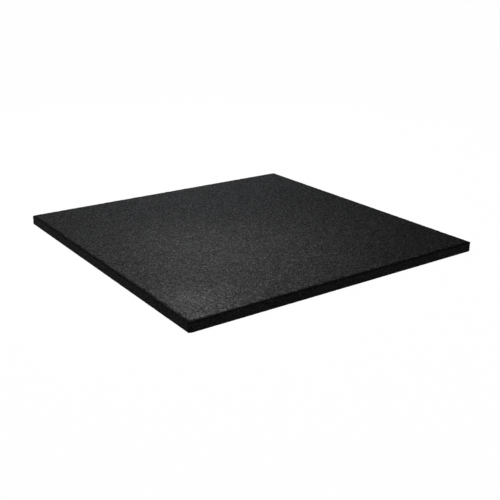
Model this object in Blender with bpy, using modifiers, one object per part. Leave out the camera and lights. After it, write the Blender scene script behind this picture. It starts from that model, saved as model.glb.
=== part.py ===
"""Square gym floor mat: one slab of bonded rubber granulate with softly rounded edges.

The slab lies flat, in metres, with +Z up. The origin is the middle of its underside.
Run it with: blender --background --python part.py
"""

import bpy

# Driving dimensions, in metres
MAT_LENGTH = 1.000
MAT_WIDTH = 1.000
MAT_THICKNESS = 0.030
CORNER_RADIUS = 0.005
TOP_EDGE_RADIUS = 0.0045
BOTTOM_EDGE_RADIUS = 0.002

# How finely the round stretches are faceted
CORNER_SEGMENTS = 6
EDGE_SEGMENTS = 5

# The rubber's finish: linear colour, roughness and metallic value
RUBBER_COLOUR = (0.034, 0.034, 0.035, 1.0)
RUBBER_ROUGHNESS = 0.72
RUBBER_METALLIC = 0.0

TOP_GROUP = "top_face"
BOTTOM_GROUP = "bottom_face"


def clear_scene():
    """Removes every object, so that the script gives the same result in any file."""
    for obj in list(bpy.data.objects):
        bpy.data.objects.remove(obj, do_unlink=True)


def make_rubber():
    """Matt black rubber granulate."""
    material = bpy.data.materials.new("rubber_granulate")
    material.use_nodes = True
    surface = material.node_tree.nodes["Principled BSDF"]
    surface.inputs["Base Color"].default_value = RUBBER_COLOUR
    surface.inputs["Roughness"].default_value = RUBBER_ROUGHNESS
    surface.inputs["Metallic"].default_value = RUBBER_METALLIC
    return material


def make_slab():
    """A plain block of the mat's full size, standing on the ground plane."""
    bpy.ops.mesh.primitive_cube_add(size=1.0, location=(0.0, 0.0, MAT_THICKNESS / 2))
    slab = bpy.context.object
    slab.name = "rubber_mat"
    slab.data.name = "rubber_mat"
    slab.scale = (MAT_LENGTH, MAT_WIDTH, MAT_THICKNESS)
    bpy.ops.object.transform_apply(location=False, rotation=False, scale=True)
    return slab


def mark_faces(slab):
    """Names the points of the top and of the bottom face, and weights the four upright edges."""
    top = slab.vertex_groups.new(name=TOP_GROUP)
    bottom = slab.vertex_groups.new(name=BOTTOM_GROUP)
    for vertex in slab.data.vertices:
        group = top if vertex.co.z > 0 else bottom
        group.add([vertex.index], 1.0, "REPLACE")
    weights = slab.data.attributes.new("bevel_weight_edge", "FLOAT", "EDGE")
    for edge in slab.data.edges:
        ends = [slab.data.vertices[index].co for index in edge.vertices]
        upright = abs(ends[0].z - ends[1].z) > MAT_THICKNESS / 2
        weights.data[edge.index].value = 1.0 if upright else 0.0


def round_corners(slab):
    """Rounds the four upright edges."""
    bevel = slab.modifiers.new("round_corners", "BEVEL")
    bevel.limit_method = "WEIGHT"
    bevel.width = CORNER_RADIUS
    bevel.segments = CORNER_SEGMENTS
    bevel.harden_normals = True


def round_rim(slab, group, radius):
    """Rounds the rim of the face whose points are in the vertex group."""
    bevel = slab.modifiers.new("round_" + group, "BEVEL")
    bevel.limit_method = "VGROUP"
    bevel.vertex_group = group
    bevel.width = radius
    bevel.segments = EDGE_SEGMENTS
    bevel.harden_normals = True


def shade(slab, rubber):
    """Gives the slab its rubber, and shades its round stretches smooth."""
    slab.data.materials.append(rubber)
    slab.data.shade_smooth()


def main():
    clear_scene()
    slab = make_slab()
    mark_faces(slab)
    round_corners(slab)
    round_rim(slab, TOP_GROUP, TOP_EDGE_RADIUS)
    round_rim(slab, BOTTOM_GROUP, BOTTOM_EDGE_RADIUS)
    shade(slab, make_rubber())

    collection = bpy.data.collections.new("gym_floor_mat")
    bpy.context.scene.collection.children.link(collection)
    for holder in list(slab.users_collection):
        holder.objects.unlink(slab)
    collection.objects.link(slab)


main()
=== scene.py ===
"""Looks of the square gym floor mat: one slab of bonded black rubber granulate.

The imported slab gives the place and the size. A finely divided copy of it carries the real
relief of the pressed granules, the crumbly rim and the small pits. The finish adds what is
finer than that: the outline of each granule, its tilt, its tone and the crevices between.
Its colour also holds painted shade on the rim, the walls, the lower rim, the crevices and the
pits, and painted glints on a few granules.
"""

import logging
import math
import random
from dataclasses import astuple, dataclass
from enum import Enum

import bmesh
import bpy
from mathutils import Matrix, Vector, noise


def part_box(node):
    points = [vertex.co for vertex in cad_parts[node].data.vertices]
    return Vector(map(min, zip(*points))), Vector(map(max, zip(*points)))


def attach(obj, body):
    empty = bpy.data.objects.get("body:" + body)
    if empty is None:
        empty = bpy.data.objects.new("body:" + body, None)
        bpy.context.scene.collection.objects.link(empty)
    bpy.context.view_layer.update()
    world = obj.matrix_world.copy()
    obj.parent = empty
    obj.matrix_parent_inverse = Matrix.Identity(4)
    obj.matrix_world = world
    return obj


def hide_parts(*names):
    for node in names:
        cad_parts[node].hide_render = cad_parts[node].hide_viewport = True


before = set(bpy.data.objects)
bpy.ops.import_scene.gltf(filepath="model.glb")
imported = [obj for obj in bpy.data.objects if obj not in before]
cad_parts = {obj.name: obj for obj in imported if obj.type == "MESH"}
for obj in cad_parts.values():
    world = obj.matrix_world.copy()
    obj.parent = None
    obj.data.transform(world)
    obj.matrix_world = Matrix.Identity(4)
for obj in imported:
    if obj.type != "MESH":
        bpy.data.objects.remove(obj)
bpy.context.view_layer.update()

LOG = logging.getLogger("gym_floor_mat")

CAD_NODE = "rubber_mat"
PIECE = "granulate_slab"
BODY = "root"
SLOT = "rubber_granulate"

# Layers of the mesh: each point's zone, two values that the finish reads, and the texture map
ZONE_LAYER = "zone"
# The pit layer holds painted shade on the rim, walls and lower rim, and the pits' darkening by depth,
# which is partly painted shade and partly binder colour.
PIT_AND_SHADE_LAYER = "pit"
FILM_LAYER = "film"
MAP_LAYER = "OFBake"

# The middle of what noise and random colours give
MIDDLE = (0.5, 0.5, 0.5)
WHITE = (1.0, 1.0, 1.0, 1.0)


class Zone(Enum):
    """The stretches of the mat's skin, each with its own relief."""

    TREAD = 0
    RIM = 1
    WALL = 2
    FOOT = 3
    SOLE = 4


@dataclass(frozen=True)
class Relief:
    """How the granules of one zone lie below the face of the mould.

    Args:
        dip: spread of the depths below the face, in metres.
        slide: how far a point may wander along the face, in metres.
        pit_share: share of the points where a granule is missing.
        pit_depth: depth of such a pit, in metres.
        crumble: depth of the crumbled stretches, in metres.
        shade: painted shade, how far the zone's colour goes to that of a crevice. Over 1 it gets there
            sooner.
        film: how far the binder's film hides the granules' own tones.
    """

    dip: float
    slide: float
    pit_share: float
    pit_depth: float
    crumble: float = 0.0
    shade: float = 0.0
    film: float = 0.0

    def towards(self, other: "Relief", share: float) -> "Relief":
        """A relief between this one, at a share of 0, and another, at a share of 1."""
        ends = zip(astuple(self), astuple(other))
        return Relief(*(mine + (theirs - mine) * share for mine, theirs in ends))


class Signal:
    """A socket of a node on which Python's arithmetic adds Math nodes."""

    def __init__(self, graph: "Graph", socket: bpy.types.NodeSocket) -> None:
        """Wraps one output socket.

        Args:
            graph: the node graph that holds the socket.
            socket: the output socket that gives the value.
        """
        self.graph = graph
        self.socket = socket

    def _math(self, operation: str, *values: "Signal | float") -> "Signal":
        """Adds a Math node.

        Args:
            operation: name of the Math node's operation.
            *values: its operands, in order.

        Returns:
            The node's result.
        """
        sockets = dict(enumerate(values))
        return self.graph.node("ShaderNodeMath", {"operation": operation}, sockets, "Value")

    def __add__(self, other: "Signal | float") -> "Signal":
        """self + other."""
        return self._math("ADD", self, other)

    def __radd__(self, other: float) -> "Signal":
        """other + self."""
        return self._math("ADD", other, self)

    def __sub__(self, other: "Signal | float") -> "Signal":
        """self - other."""
        return self._math("SUBTRACT", self, other)

    def __rsub__(self, other: float) -> "Signal":
        """other - self."""
        return self._math("SUBTRACT", other, self)

    def __mul__(self, other: "Signal | float") -> "Signal":
        """self * other."""
        return self._math("MULTIPLY", self, other)

    def __rmul__(self, other: float) -> "Signal":
        """other * self."""
        return self._math("MULTIPLY", other, self)

    def __truediv__(self, other: "Signal | float") -> "Signal":
        """self / other."""
        return self._math("DIVIDE", self, other)

    def __rtruediv__(self, other: float) -> "Signal":
        """other / self."""
        return self._math("DIVIDE", other, self)

    def __pow__(self, power: float) -> "Signal":
        """self ** power."""
        return self._math("POWER", self, power)

    def __rpow__(self, base: float) -> "Signal":
        """base ** self."""
        return self._math("POWER", base, self)

    def at_most(self, level: float) -> "Signal":
        """The value, or the level where the value is over it."""
        return self._math("MINIMUM", self, level)

    def above(self, level: float) -> "Signal":
        """1 where the value is over the level, and 0 elsewhere."""
        return self._math("GREATER_THAN", self, level)


class Graph:
    """The node graph of a material or world, filled through one method."""

    def __init__(self, owner: bpy.types.Material | bpy.types.World) -> None:
        """Empties the owner's node tree.

        Args:
            owner: the material or world whose nodes are made here.
        """
        owner.use_nodes = True
        self.tree = owner.node_tree
        self.tree.nodes.clear()

    def node(self, kind: str, settings: dict, sockets: dict, output: str | int = 0) -> Signal:
        """Adds a node.

        Args:
            kind: the node's type.
            settings: its own settings, which are set before its sockets.
            sockets: values or links, by the socket's name or number.
            output: name or number of the output that is wanted.

        Returns:
            That output.
        """
        made = self.tree.nodes.new(kind)
        for name, value in settings.items():
            setattr(made, name, value)
        for name, value in sockets.items():
            self._feed(made.inputs[name], value)
        return Signal(self, made.outputs[output] if len(made.outputs) else None)

    def _feed(self, socket: bpy.types.NodeSocket, value: object) -> None:
        """Links a signal to a socket, or sets the socket's own value.

        Args:
            socket: the input socket.
            value: a signal, a number, a colour or a vector.
        """
        if isinstance(value, Signal):
            self.tree.links.new(value.socket, socket)
        else:
            socket.default_value = value

    def other_output(self, signal: Signal, output: str) -> Signal:
        """Another output of the node that gave the signal."""
        return Signal(self, signal.socket.node.outputs[output])

    def blend(self, share: Signal | float, low: object, high: object) -> Signal:
        """Mixes two colours.

        Args:
            share: 0 for the first colour, 1 for the second.
            low: the first colour.
            high: the second colour.

        Returns:
            The mixed colour.
        """
        settings = {"data_type": "RGBA", "clamp_factor": True}
        return self.node("ShaderNodeMix", settings, {0: share, 6: low, 7: high}, 2)

    def ease(self, value: Signal, start: float, end: float) -> Signal:
        """Rises softly from 0 at start to 1 at end.

        Args:
            value: the value that is eased.
            start: where the rise begins.
            end: where it is complete.

        Returns:
            A number from 0 to 1.
        """
        settings = {"interpolation_type": "SMOOTHSTEP", "clamp": True}
        sockets = {"Value": value, "From Min": start, "From Max": end, "To Min": 0.0, "To Max": 1.0}
        return self.node("ShaderNodeMapRange", settings, sockets, "Result")

    def between(self, share: Signal, low: Signal | float, high: Signal | float) -> Signal:
        """Mixes two numbers.

        Args:
            share: 0 for the first number, 1 for the second.
            low: the first number.
            high: the second number.

        Returns:
            The mixed number.
        """
        settings = {"data_type": "FLOAT", "clamp_factor": True}
        return self.node("ShaderNodeMix", settings, {0: share, 2: low, 3: high}, 0)

    def vector(self, operation: str, first: object, second: object) -> Signal:
        """Adds a Vector Math node on two vectors, and gives its vector."""
        return self.node("ShaderNodeVectorMath", {"operation": operation}, {0: first, 1: second}, 0)

    def noise(self, vector: Signal, size: float, detail: float, output: str | int) -> Signal:
        """Adds soft noise.

        Args:
            vector: the position, in metres.
            size: size of the noise's largest patches, in metres.
            detail: how many finer layers it has.
            output: name or number of the output that is wanted.

        Returns:
            That output.
        """
        sockets = {"Vector": vector, "Scale": 1.0 / size, "Detail": detail}
        return self.node("ShaderNodeTexNoise", {}, sockets, output)

    def shift(self, vector: Signal, push: Signal, amount: float) -> Signal:
        """Moves a position along a push that is 0.5 on average.

        Args:
            vector: the position, in metres.
            push: a colour or vector from 0 to 1.
            amount: how far the widest push moves it, in metres.

        Returns:
            The moved position.
        """
        centred = self.vector("SUBTRACT", push, MIDDLE)
        reach = 2.0 * amount
        return self.vector("ADD", vector, self.vector("MULTIPLY", centred, (reach, reach, reach)))


@dataclass(frozen=True)
class Granules:
    """One layer of granules, as signals that vary over the rubber.

    Args:
        chance: three random numbers for each granule, as a colour.
        border: distance from the granule's outline, as a share of its size.
        rise: height of the granule's tilted face, in metres for each metre of its size.
    """

    chance: Signal
    border: Signal
    rise: Signal

    def draw(self, channel: str) -> Signal:
        """One of the granule's random numbers, by the name of its channel."""
        return self.chance.graph.node("ShaderNodeSeparateColor", {}, {0: self.chance}, channel)


@dataclass(frozen=True)
class Grain:
    """The whole granules, and the crumbs that some of them are broken into.

    Args:
        graph: the material's nodes.
        whole: the whole granules.
        crumbs: the crumbs.
        broken: 1 where a granule is broken into crumbs, and 0 elsewhere.
    """

    graph: Graph
    whole: Granules
    crumbs: Granules
    broken: Signal

    def draw(self, channel: str) -> Signal:
        """A random number for each granule or crumb, by the name of its channel."""
        return self.graph.between(self.broken, self.whole.draw(channel), self.crumbs.draw(channel))


@dataclass(frozen=True)
class GranulateFinish:
    """Black rubber granules, pressed together with a binder.

    Args:
        pitch: middle size of a whole granule, in metres.
        crumb_pitch: middle size of the crumbs of a broken granule, in metres.
        broken_share: share of the granules that are broken into crumbs.
        wander: how far the granules' outlines stray from straight, in metres.
        bend_pitch: size of the bends in those outlines, in metres.
        bend_detail: how many finer layers the bends have.
        dark: colour of the darkest granules.
        light: colour of the lightest granules.
        darkening: how much likelier dark granules are than light ones.
        cool: what the coolest granules' colour is multiplied by.
        warm: what the warmest granules' colour is multiplied by.
        glint_fleck: colour of the few light specks, painted glints on single granules.
        glint_fleck_share: their share of the granules.
        crevice: colour of the crevices and pits: the binder's colour, darkened further as painted shade.
        crevice_width: width of a crevice, as a share of a granule.
        darkest_pit_and_shade: how far the deepest pits and the darkest painted shade go to the crevices'
            colour, from 0 to 1.
        crumb_crevice: how high the crevices between crumbs lie, as a share of a granule's height.
        crevice_depth: depth of a crevice, in metres.
        tilt: rise of a tilted granule's face over its size, in metres.
        grit: height of the fine grit on the granules, in metres.
        grit_pitch: size of that grit, in metres.
        grit_detail: how many finer layers the grit has.
        roughness: lowest and highest roughness of a granule.
        specular: strength of the gloss.
    """

    pitch: float = 0.0028
    crumb_pitch: float = 0.0019
    broken_share: float = 0.25
    wander: float = 0.0012
    bend_pitch: float = 0.0054
    bend_detail: float = 1.0
    dark: tuple[float, float, float, float] = (0.0040, 0.0040, 0.0046, 1.0)
    light: tuple[float, float, float, float] = (0.1800, 0.1800, 0.1755, 1.0)
    darkening: float = 4.6
    cool: tuple[float, float, float, float] = (0.88, 0.97, 1.14, 1.0)
    warm: tuple[float, float, float, float] = (1.12, 1.03, 0.86, 1.0)
    glint_fleck: tuple[float, float, float, float] = (0.2400, 0.2430, 0.2460, 1.0)
    glint_fleck_share: float = 0.0006
    crevice: tuple[float, float, float, float] = (0.0020, 0.0020, 0.0020, 1.0)
    crevice_width: float = 0.14
    darkest_pit_and_shade: float = 0.9
    crumb_crevice: float = 0.4
    crevice_depth: float = 0.00040
    tilt: float = 0.0014
    grit: float = 0.00006
    grit_pitch: float = 0.0007
    grit_detail: float = 2.0
    roughness: tuple[float, float] = (0.45, 0.95)
    specular: float = 0.2

    def _granules(self, graph: Graph, bent: Signal, pitch: float) -> Granules:
        """Lays one layer of granules through the rubber.

        Args:
            graph: the material's nodes.
            bent: the position on the mat, bent so that the outlines aren't straight.
            pitch: middle size of a granule, in metres.

        Returns:
            The layer's signals.
        """
        cell = {"Vector": bent, "Scale": 1.0 / pitch}
        chance = graph.node("ShaderNodeTexVoronoi", {"feature": "F1"}, cell, "Color")
        middle = graph.other_output(chance, "Position")
        border = graph.node("ShaderNodeTexVoronoi", {"feature": "DISTANCE_TO_EDGE"}, cell, "Distance")
        reach = graph.vector("SUBTRACT", bent, middle)
        lean = graph.vector("SUBTRACT", chance, MIDDLE)
        product = {"operation": "DOT_PRODUCT"}
        rise = graph.node("ShaderNodeVectorMath", product, {0: reach, 1: lean}, "Value")
        return Granules(chance, border, rise / pitch)

    def _grain(self, graph: Graph, place: Signal) -> Grain:
        """Fills the rubber with granules, some of them broken.

        Args:
            graph: the material's nodes.
            place: the position on the mat.

        Returns:
            The granules.
        """
        push = graph.noise(place, self.bend_pitch, self.bend_detail, "Color")
        bent = graph.shift(place, push, self.wander)
        whole = self._granules(graph, bent, self.pitch)
        crumbs = self._granules(graph, bent, self.crumb_pitch)
        broken = 1.0 - whole.draw("Blue").above(self.broken_share)
        return Grain(graph, whole, crumbs, broken)

    def _body(self, grain: Grain) -> Signal:
        """How far a point is out of the crevices.

        Args:
            grain: the granules.

        Returns:
            0 in a crevice between granules, and 1 on a granule's face.
        """
        graph = grain.graph
        body = graph.ease(grain.whole.border, 0.0, self.crevice_width)
        crumb_body = graph.ease(grain.crumbs.border, 0.0, self.crevice_width)
        crumb_floor = self.crumb_crevice + (1.0 - self.crumb_crevice) * crumb_body
        return body * graph.between(grain.broken, 1.0, crumb_floor)

    def _colour(self, grain: Grain, solid: Signal) -> Signal:
        """The granules' colours, over those of the crevices and pits.

        Args:
            grain: the granules.
            solid: 0 in a crevice or pit, and 1 on a granule's face.

        Returns:
            The colour.
        """
        graph = grain.graph
        film = graph.node("ShaderNodeAttribute", {"attribute_name": FILM_LAYER}, {}, "Fac")
        tone = graph.between(film, grain.draw("Red") ** self.darkening, 1.0 / (1.0 + self.darkening))
        tint = graph.blend(grain.whole.draw("Blue"), self.cool, self.warm)
        granule = graph.vector("MULTIPLY", graph.blend(tone, self.dark, self.light), tint)
        # Painted glints: a few random granules take a lighter colour.
        glint_flecks = grain.whole.draw("Green").above(1.0 - self.glint_fleck_share)
        # Crevices and pits take the crevice colour: the binder's colour, darkened further as painted
        # shade.
        return graph.blend(solid, self.crevice, graph.blend(glint_flecks, granule, self.glint_fleck))

    def _normal(self, grain: Grain, place: Signal, body: Signal) -> Signal:
        """The relief of the granules, their tilted faces and their grit.

        Args:
            grain: the granules.
            place: the position on the mat.
            body: how far a point is out of the crevices.

        Returns:
            The bent normal.
        """
        graph = grain.graph
        crumb_rise = grain.crumbs.rise * (self.crumb_pitch / self.pitch)
        rise = graph.between(grain.broken, grain.whole.rise, crumb_rise)
        grit = graph.noise(place, self.grit_pitch, self.grit_detail, 0)
        height = body * self.crevice_depth + rise * self.tilt + grit * self.grit
        bump = {"Strength": 1.0, "Distance": 1.0, "Height": height}
        return graph.node("ShaderNodeBump", {}, bump, "Normal")

    def material(self, name: str) -> bpy.types.Material:
        """Builds the finish.

        Args:
            name: the material's name.

        Returns:
            The material.
        """
        material = bpy.data.materials.new(name)
        graph = Graph(material)
        place = graph.node("ShaderNodeTexCoord", {}, {}, "Object")
        grain = self._grain(graph, place)
        body = self._body(grain)
        # Painted shade: the pit layer darkens the rim, walls, lower rim and pits towards the crevice
        # colour.
        pit = graph.node("ShaderNodeAttribute", {"attribute_name": PIT_AND_SHADE_LAYER}, {}, "Fac")
        pit = pit.at_most(self.darkest_pit_and_shade)
        low, high = self.roughness
        sockets = {
            "Base Color": self._colour(grain, body * (1.0 - pit)),
            "Roughness": graph.between(pit, low + (high - low) * grain.draw("Green"), 1.0),
            "Normal": self._normal(grain, place, body),
            "Specular IOR Level": self.specular,
        }
        surface = graph.node("ShaderNodeBsdfPrincipled", {}, sockets, "BSDF")
        graph.node("ShaderNodeOutputMaterial", {}, {"Surface": surface})
        return material


@dataclass(frozen=True)
class FloorFinish:
    """The pale, evenly lit floor under the mat.

    Args:
        colour: what it reflects.
        brightness: how bright it shows in the picture.
        bounce: how brightly it lights the mat's sides.
        roughness: its roughness.
    """

    colour: tuple[float, float, float, float] = (0.02, 0.02, 0.02, 1.0)
    brightness: float = 0.99
    bounce: float = 0.32
    roughness: float = 0.9

    def material(self, name: str) -> bpy.types.Material:
        """Builds the finish.

        Args:
            name: the material's name.

        Returns:
            The material.
        """
        material = bpy.data.materials.new(name)
        graph = Graph(material)
        seen = graph.node("ShaderNodeLightPath", {}, {}, "Is Camera Ray")
        glow = self.bounce + (self.brightness - self.bounce) * seen
        sockets = {
            "Base Color": self.colour,
            "Roughness": self.roughness,
            "Specular IOR Level": 0.0,
            "Emission Color": WHITE,
            "Emission Strength": glow,
        }
        surface = graph.node("ShaderNodeBsdfPrincipled", {}, sockets, "BSDF")
        graph.node("ShaderNodeOutputMaterial", {}, {"Surface": surface})
        return material


@dataclass
class RubberMat:
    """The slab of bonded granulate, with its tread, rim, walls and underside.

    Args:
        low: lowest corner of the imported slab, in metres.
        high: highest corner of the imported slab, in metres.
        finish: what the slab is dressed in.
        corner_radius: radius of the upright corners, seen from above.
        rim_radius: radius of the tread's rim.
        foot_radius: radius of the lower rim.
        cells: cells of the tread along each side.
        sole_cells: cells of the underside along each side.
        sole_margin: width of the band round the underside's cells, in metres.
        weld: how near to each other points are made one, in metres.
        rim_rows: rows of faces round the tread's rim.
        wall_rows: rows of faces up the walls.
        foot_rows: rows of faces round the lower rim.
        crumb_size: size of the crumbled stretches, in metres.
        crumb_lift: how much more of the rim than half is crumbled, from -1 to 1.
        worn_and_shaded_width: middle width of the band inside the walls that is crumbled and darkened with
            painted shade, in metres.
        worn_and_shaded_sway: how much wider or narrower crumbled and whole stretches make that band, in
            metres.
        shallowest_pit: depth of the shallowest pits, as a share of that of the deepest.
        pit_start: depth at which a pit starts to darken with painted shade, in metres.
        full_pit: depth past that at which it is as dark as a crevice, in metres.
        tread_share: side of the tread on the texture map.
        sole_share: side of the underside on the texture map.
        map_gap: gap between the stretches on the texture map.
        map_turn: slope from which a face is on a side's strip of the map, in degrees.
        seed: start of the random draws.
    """

    low: Vector
    high: Vector
    finish: GranulateFinish
    corner_radius: float = 0.005
    rim_radius: float = 0.0045
    foot_radius: float = 0.002
    cells: int = 276
    sole_cells: int = 46
    sole_margin: float = 0.012
    weld: float = 0.00001
    rim_rows: int = 4
    wall_rows: int = 10
    foot_rows: int = 2
    crumb_size: float = 0.007
    crumb_lift: float = 0.1
    worn_and_shaded_width: float = 0.0080
    worn_and_shaded_sway: float = 0.006
    shallowest_pit: float = 0.5
    pit_start: float = 0.00035
    full_pit: float = 0.0010
    tread_share: float = 0.74
    sole_share: float = 0.23
    map_gap: float = 0.008
    map_turn: float = 45.0
    seed: int = 20

    def reliefs(self) -> dict[Zone, Relief]:
        """The relief of each zone."""
        # Each shade is painted shade, which darkens the rim, the walls and the lower rim towards the
        # crevice colour.
        return {
            Zone.TREAD: Relief(dip=0.00028, slide=0.0011, pit_share=0.004, pit_depth=0.0011),
            Zone.RIM: Relief(
                dip=0.00030,
                slide=0.0005,
                pit_share=0.03,
                pit_depth=0.0009,
                crumble=0.0021,
                shade=1.6,
                film=0.3,
            ),
            Zone.WALL: Relief(
                dip=0.00025,
                slide=0.0007,
                pit_share=0.01,
                pit_depth=0.0010,
                shade=0.2,
                film=0.5,
            ),
            Zone.FOOT: Relief(
                dip=0.00012,
                slide=0.0002,
                pit_share=0.01,
                pit_depth=0.0006,
                crumble=0.0003,
                shade=0.4,
                film=0.5,
            ),
            Zone.SOLE: Relief(dip=0.00010, slide=0.0, pit_share=0.0, pit_depth=0.0),
        }

    def profile(self) -> list[tuple[Zone, float, float]]:
        """The rows from the tread's edge down to the underside.

        Returns:
            For each row its zone, how far it lies inside the walls, and its height.
        """
        rows = []
        for step in range(1, self.rim_rows + 1):
            turn = math.pi / 2 * step / self.rim_rows
            inset = self.rim_radius * (1 - math.sin(turn))
            rows.append((Zone.RIM, inset, self.high.z - self.rim_radius * (1 - math.cos(turn))))
        top = self.high.z - self.rim_radius
        bottom = self.low.z + self.foot_radius
        for step in range(1, self.wall_rows + 1):
            rows.append((Zone.WALL, 0.0, top + (bottom - top) * step / self.wall_rows))
        for step in range(1, self.foot_rows + 1):
            turn = math.pi / 2 * step / self.foot_rows
            inset = self.foot_radius * (1 - math.cos(turn))
            rows.append((Zone.FOOT, inset, self.low.z + self.foot_radius * (1 - math.sin(turn))))
        return rows

    def _half(self, axis: int) -> float:
        """Half the slab's size along an axis."""
        return (self.high[axis] - self.low[axis]) / 2

    def _points(self, edges: list[bmesh.types.BMEdge]) -> list[bmesh.types.BMVert]:
        """The points of some edges, each once, in an order that is the same in every run."""
        return list(dict.fromkeys(vert for edge in edges for vert in edge.verts))

    def _place_ring(self, verts: list[bmesh.types.BMVert], inset: float, height: float) -> None:
        """Moves a ring of points out or in, each at a right angle to its own side.

        Args:
            verts: the ring's points.
            inset: how far the ring lies inside the walls.
            height: the ring's height.
        """
        for vert in verts:
            for axis in (0, 1):
                straight = self._half(axis) - self.corner_radius
                edge = self._half(axis) - inset
                if abs(vert.co[axis]) > straight:
                    was = max(abs(vert.co.x) - self._half(0), abs(vert.co.y) - self._half(1))
                    share = (abs(vert.co[axis]) - straight) / (self.corner_radius + was)
                    vert.co[axis] = math.copysign(straight + share * (edge - straight), vert.co[axis])
            vert.co.z = height

    def _tread(self, bm: bmesh.types.BMesh) -> list[bmesh.types.BMEdge]:
        """Lays the tread's cells at the mat's top.

        Args:
            bm: the mesh that is filled.

        Returns:
            The edges round the tread.
        """
        halves = [self._half(axis) - self.rim_radius for axis in (0, 1)]
        across = Matrix.Diagonal((halves[0], halves[1], 1.0, 1.0))
        bmesh.ops.create_grid(bm, x_segments=self.cells, y_segments=self.cells, size=1.0, matrix=across)
        for vert in bm.verts:
            vert.co.z = self.high.z
        return [edge for edge in bm.edges if edge.is_boundary]

    def _sides(self, bm: bmesh.types.BMesh, ring: list[bmesh.types.BMEdge]) -> list[bmesh.types.BMEdge]:
        """Draws the rim, the walls and the lower rim down from the tread, row by row.

        Args:
            bm: the mesh that is extended.
            ring: the edges round the tread.

        Returns:
            The edges round the underside.
        """
        zones = bm.verts.layers.int[ZONE_LAYER]
        for zone, inset, height in self.profile():
            ring = self._next_ring(bm, ring, inset, height)
            for vert in self._points(ring):
                vert[zones] = zone.value
        return ring

    def _next_ring(
        self, bm: bmesh.types.BMesh, ring: list[bmesh.types.BMEdge], inset: float, height: float
    ) -> list[bmesh.types.BMEdge]:
        """Extrudes a ring of edges to the next row.

        Args:
            bm: the mesh that is extended.
            ring: the edges that are extruded.
            inset: how far the new row lies inside the walls.
            height: the new row's height.

        Returns:
            The new row's edges.
        """
        grown = bmesh.ops.extrude_edge_only(bm, edges=ring)["geom"]
        new_ring = [part for part in grown if isinstance(part, bmesh.types.BMEdge) and part.is_boundary]
        self._place_ring(self._points(new_ring), inset, height)
        return new_ring

    def _sole(self, bm: bmesh.types.BMesh, ring: list[bmesh.types.BMEdge]) -> None:
        """Closes the underside with wider cells, which the ring's points are gathered to.

        Args:
            bm: the mesh that is closed.
            ring: the edges round the underside.
        """
        zones = bm.verts.layers.int[ZONE_LAYER]
        ring = self._next_ring(bm, ring, self.sole_margin, self.low.z)
        halves = [self._half(axis) - self.sole_margin for axis in (0, 1)]
        gathered = self._points(ring)
        for vert in gathered:
            for axis, half in enumerate(halves):
                pitch = 2 * half / self.sole_cells
                steps = round(min(max(vert.co[axis], -half), half) / pitch)
                vert.co[axis] = steps * pitch
        across = Matrix.Diagonal((halves[0], halves[1], 1.0, 1.0))
        plate = bmesh.ops.create_grid(
            bm, x_segments=self.sole_cells, y_segments=self.sole_cells, size=1.0, matrix=across
        )["verts"]
        for vert in plate:
            vert.co.z = self.low.z
        for vert in gathered + plate:
            vert[zones] = Zone.SOLE.value
        bmesh.ops.remove_doubles(bm, verts=gathered + plate, dist=self.weld)

    def _round_corners(self, bm: bmesh.types.BMesh) -> None:
        """Rounds the four upright corners, on every row at once."""
        for vert in bm.verts:
            over_x = abs(vert.co.x) - (self._half(0) - self.corner_radius)
            over_y = abs(vert.co.y) - (self._half(1) - self.corner_radius)
            if over_x > 0 and over_y > 0:
                pull = max(over_x, over_y) / math.hypot(over_x, over_y) - 1
                vert.co.x += math.copysign(over_x * pull, vert.co.x)
                vert.co.y += math.copysign(over_y * pull, vert.co.y)

    def _share(self, place: Vector) -> list[float]:
        """Where a point is in the slab's box, from 0 to 1 along each axis."""
        return [(place[way] - self.low[way]) / (self.high[way] - self.low[way]) for way in range(3)]

    def _lay_map(self, bm: bmesh.types.BMesh) -> None:
        """Lays the skin flat as a texture map: two squares for tread and underside, and four strips.

        Args:
            bm: the mesh whose map is laid, before it is pressed.
        """
        layer = bm.loops.layers.uv.new(MAP_LAYER)
        gap = self.map_gap
        beside = self.tread_share + 2 * gap
        sides = 4
        gaps = sides + 2
        strip_height = (1.0 - self.tread_share - gaps * gap) / sides
        level = math.cos(math.radians(self.map_turn))
        for face in bm.faces:
            normal = face.normal
            axis = 0 if abs(normal.x) > abs(normal.y) else 1
            strip = 2 * axis + (normal[axis] > 0)
            strip_foot = beside + strip * (strip_height + gap)
            for loop in face.loops:
                x, y, z = self._share(loop.vert.co)
                if normal.z > level:
                    loop[layer].uv = (gap + x * self.tread_share, gap + y * self.tread_share)
                elif normal.z < -level:
                    loop[layer].uv = (beside + x * self.sole_share, gap + y * self.sole_share)
                else:
                    along = y if axis == 0 else x
                    loop[layer].uv = (gap + along * (1.0 - 2 * gap), strip_foot + z * strip_height)

    def _relief_at(self, reliefs: dict[Zone, Relief], zone: Zone, place: Vector) -> Relief:
        """The relief at a point, which changes softly from the tread over the rim to the walls.

        Args:
            reliefs: the relief of each zone.
            zone: the zone that the point is in.
            place: the point, before it is pressed.

        Returns:
            Its relief.
        """
        if zone is Zone.TREAD:
            inset = min(self._half(axis) - abs(place[axis]) for axis in (0, 1))
            # The band along the tread's edge takes on the rim's relief: real crumbling, and the rim's
            # painted shade.
            reach = self.worn_and_shaded_width + self.worn_and_shaded_sway * noise.noise(place / self.crumb_size)
            nearness = (reach - inset) / (self.worn_and_shaded_width - self.rim_radius)
            return reliefs[Zone.TREAD].towards(reliefs[Zone.RIM], min(max(nearness, 0.0), 1.0))
        if zone is Zone.RIM:
            # Painted shade: the rim is darkest at its top and lightens down to the walls' shade.
            drop = min((self.high.z - place.z) / self.rim_radius, 1.0)
            turn = math.acos(1.0 - drop) / (math.pi / 2)
            return reliefs[Zone.RIM].towards(reliefs[Zone.WALL], math.sqrt(turn))
        return reliefs[zone]

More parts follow.
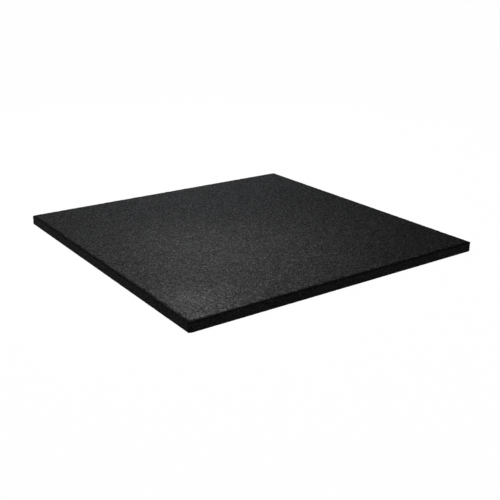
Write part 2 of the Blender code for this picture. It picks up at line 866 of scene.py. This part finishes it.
    def _press(self, bm: bmesh.types.BMesh) -> None:
        """Gives the skin the relief of pressed granules, always inwards from the mould's face.

        Args:
            bm: the mesh whose points are moved.
        """
        bm.normal_update()
        draw = random.Random(self.seed)
        reliefs = self.reliefs()
        zones = bm.verts.layers.int[ZONE_LAYER]
        pits = bm.verts.layers.float[PIT_AND_SHADE_LAYER]
        films = bm.verts.layers.float[FILM_LAYER]
        for vert in bm.verts:
            relief = self._relief_at(reliefs, Zone(vert[zones]), vert.co)
            depth = abs(draw.gauss(0.0, relief.dip))
            wander = Vector([draw.uniform(-relief.slide, relief.slide) for _ in range(3)])
            if draw.random() < relief.pit_share:
                depth += relief.pit_depth * draw.uniform(self.shallowest_pit, 1.0)
            if relief.crumble:
                crumbled = noise.noise(vert.co / self.crumb_size) + self.crumb_lift
                depth += relief.crumble * max(0.0, crumbled)
            vert[films] = relief.film
            # Painted shade: the zone's shade, plus a darkening that grows with the pit's depth.
            vert[pits] = relief.shade + max(0.0, (depth - self.pit_start) / self.full_pit)
            normal = vert.normal.copy()
            vert.co += wander - normal * wander.dot(normal) - normal * depth
            for axis in range(3):
                vert.co[axis] = min(max(vert.co[axis], self.low[axis]), self.high[axis])

    def _order_faces(self, bm: bmesh.types.BMesh) -> None:
        """Puts the faces in the order of their points, because extruding leaves them in any order.

        Args:
            bm: the mesh whose faces are put in order.
        """
        bm.verts.index_update()
        count = len(bm.verts)

        def rank(face: bmesh.types.BMFace) -> float:
            """A number that no other face has, from the face's three first points."""
            first, second, third = sorted(vert.index for vert in face.verts)[:3]
            return float((first * count + second) * count + third)

        bm.faces.sort(key=rank)
        bm.faces.index_update()

    def mesh(self) -> bpy.types.Mesh:
        """Models the slab.

        Returns:
            The finished mesh, closed and facing out.
        """
        bm = bmesh.new()
        bm.verts.layers.int.new(ZONE_LAYER)
        bm.verts.layers.float.new(PIT_AND_SHADE_LAYER)
        bm.verts.layers.float.new(FILM_LAYER)
        ring = self._tread(bm)
        ring = self._sides(bm, ring)
        self._sole(bm, ring)
        self._round_corners(bm)
        bmesh.ops.recalc_face_normals(bm, faces=bm.faces)
        self._lay_map(bm)
        self._press(bm)
        self._order_faces(bm)
        bmesh.ops.triangulate(bm, faces=bm.faces, quad_method="SHORT_EDGE")
        mesh = bpy.data.meshes.new(PIECE)
        bm.to_mesh(mesh)
        bm.free()
        mesh.shade_smooth()
        return mesh

    def build(self) -> bpy.types.Object:
        """Models and dresses the slab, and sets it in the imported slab's place.

        Returns:
            The slab's object.
        """
        slab = bpy.data.objects.new(PIECE, self.mesh())
        bpy.context.scene.collection.objects.link(slab)
        slab.data.materials.append(self.finish.material(SLOT))
        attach(slab, BODY)
        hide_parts(CAD_NODE)
        return slab


@dataclass(frozen=True)
class SoftBox:
    """A soft, square studio light, which doesn't show in the picture.

    Args:
        name: the light's name.
        place: where its middle is, in metres.
        aim: the point that it faces.
        size: its side, in metres.
        power: its power, in watts.
        colour: its colour.
    """

    name: str
    place: tuple[float, float, float]
    aim: tuple[float, float, float]
    size: float
    power: float
    colour: tuple[float, float, float] = (1.0, 1.0, 1.0)

    def build(self) -> bpy.types.Object:
        """Sets the light up.

        Returns:
            The light's object.
        """
        data = bpy.data.lights.new(self.name, "AREA")
        data.shape = "SQUARE"
        data.size = self.size
        data.energy = self.power
        data.color = self.colour
        light = bpy.data.objects.new(self.name, data)
        light.visible_camera = False
        light.location = self.place
        light.rotation_mode = "QUATERNION"
        light.rotation_quaternion = (Vector(self.aim) - Vector(self.place)).to_track_quat("-Z", "Y")
        bpy.context.scene.collection.objects.link(light)
        return light


@dataclass(frozen=True)
class PhotoCamera:
    """The camera, where the photograph was taken from.

    Args:
        azimuth: turn of the line of sight from +Y towards +X, in degrees.
        elevation: height over the floor, in degrees.
        roll: turn about the line of sight, in degrees.
        distance: distance from the aim, in metres.
        aim: the point in the middle of the picture.
        lens: focal length, in millimetres.
        sensor: side of the square sensor, in millimetres.
    """

    azimuth: float = 35.462
    elevation: float = 20.174
    roll: float = 0.39
    distance: float = 2.3982
    aim: tuple[float, float, float] = (-0.0494, -0.1125, 0.0)
    lens: float = 56.734
    sensor: float = 36.0

    def build(self) -> bpy.types.Object:
        """Sets the camera up and makes it the scene's.

        Returns:
            The camera's object.
        """
        turn = math.radians(self.azimuth)
        dip = math.radians(self.elevation)
        roll = math.radians(self.roll)
        sight = Vector((math.sin(turn) * math.cos(dip), math.cos(turn) * math.cos(dip), -math.sin(dip)))
        level = Vector((math.cos(turn), -math.sin(turn), 0.0))
        upright = level.cross(sight)
        right = level * math.cos(roll) + upright * math.sin(roll)
        up = right.cross(sight)
        data = bpy.data.cameras.new("camera")
        data.lens = self.lens
        data.sensor_width = self.sensor
        camera = bpy.data.objects.new("camera", data)
        frame_of_sight = Matrix((right, up, -sight)).transposed().to_4x4()
        camera.matrix_world = Matrix.Translation(Vector(self.aim) - sight * self.distance) @ frame_of_sight
        bpy.context.scene.collection.objects.link(camera)
        bpy.context.scene.camera = camera
        return camera


@dataclass(frozen=True)
class Studio:
    """The pale floor, the pale surroundings and the lights.

    Args:
        floor_finish: what the floor is made of.
        floor_size: side of the floor, in metres.
        backdrop: brightness of the surroundings, which show in the picture but don't light the mat.
        neutral: colour of the overhead light.
        cool: colour of the lights behind the mat.
        warm: colour of the light at its side.
    """

    floor_finish: FloorFinish = FloorFinish()
    floor_size: float = 120.0
    backdrop: float = 1.0
    neutral: tuple[float, float, float] = (0.99, 0.99, 1.005)
    cool: tuple[float, float, float] = (0.955, 0.985, 1.035)
    warm: tuple[float, float, float] = (1.02, 1.0, 0.9)

    def lights(self) -> list[SoftBox]:
        """The soft boxes."""
        return [
            SoftBox("over_box", (0.0, 0.0, 2.2), (0.0, 0.0, 0.0), 1.2, 10.0, self.neutral),
            SoftBox("back_box", (0.399, 2.261, 1.221), (0.0, 0.0, 0.0), 0.6, 5.3, self.cool),
            SoftBox("far_box", (1.148, 1.988, 1.221), (0.0, 0.0, 0.0), 0.6, 9.96, self.cool),
            SoftBox("near_box", (-0.13, 0.02, 0.35), (-0.47, -0.47, 0.0), 0.25, 0.86),
            SoftBox("right_box", (0.244, 0.021, 0.35), (-0.1, -0.47, 0.0), 0.25, 0.25),
            SoftBox("left_box", (-0.126, 0.391, 0.35), (-0.47, -0.1, 0.0), 0.25, 0.16),
            SoftBox("corner_box", (-0.4, -0.36, 0.14), (-0.49, -0.49, 0.0), 0.1, 0.145),
            SoftBox("side_box", (-1.0, 1.2, 0.3), (-0.5, 0.4, 0.015), 0.3, 1.25, self.warm),
        ]

    def _floor(self) -> bpy.types.Object:
        """Lays the floor.

        Returns:
            The floor's object.
        """
        bm = bmesh.new()
        bmesh.ops.create_grid(bm, x_segments=1, y_segments=1, size=self.floor_size / 2)
        mesh = bpy.data.meshes.new("studio_floor")
        bm.to_mesh(mesh)
        bm.free()
        floor = bpy.data.objects.new("studio_floor", mesh)
        mesh.materials.append(self.floor_finish.material("studio_floor"))
        bpy.context.scene.collection.objects.link(floor)
        return floor

    def _world(self) -> bpy.types.World:
        """Surrounds the scene with a pale backdrop, which only shows in the picture.

        Returns:
            The world.
        """
        world = bpy.data.worlds.new("studio")
        graph = Graph(world)
        seen = graph.node("ShaderNodeLightPath", {}, {}, "Is Camera Ray")
        glow = graph.node("ShaderNodeBackground", {}, {"Color": WHITE, "Strength": self.backdrop * seen})
        graph.node("ShaderNodeOutputWorld", {}, {"Surface": glow})
        bpy.context.scene.world = world
        return world

    def build(self) -> None:
        """Sets up the floor, the surroundings and the lights, with true tones in the picture."""
        self._floor()
        self._world()
        for light in self.lights():
            light.build()
        bpy.context.scene.view_settings.view_transform = "Standard"


def report_piece(piece: bpy.types.Object) -> None:
    """Logs a finished piece's name and how many triangles it has.

    Args:
        piece: the piece's object.
    """
    triangles = sum(len(polygon.vertices) - 2 for polygon in piece.data.polygons)
    LOG.info("%s: %d triangles", piece.name, triangles)


def main() -> None:
    """Builds the mat and the studio, in order, and reports each piece."""
    logging.basicConfig(level=logging.INFO, format="%(name)s: %(message)s")
    low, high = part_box(CAD_NODE)
    PhotoCamera().build()
    Studio().build()
    report_piece(RubberMat(low, high, GranulateFinish()).build())


if __name__ == "__main__":
    main()
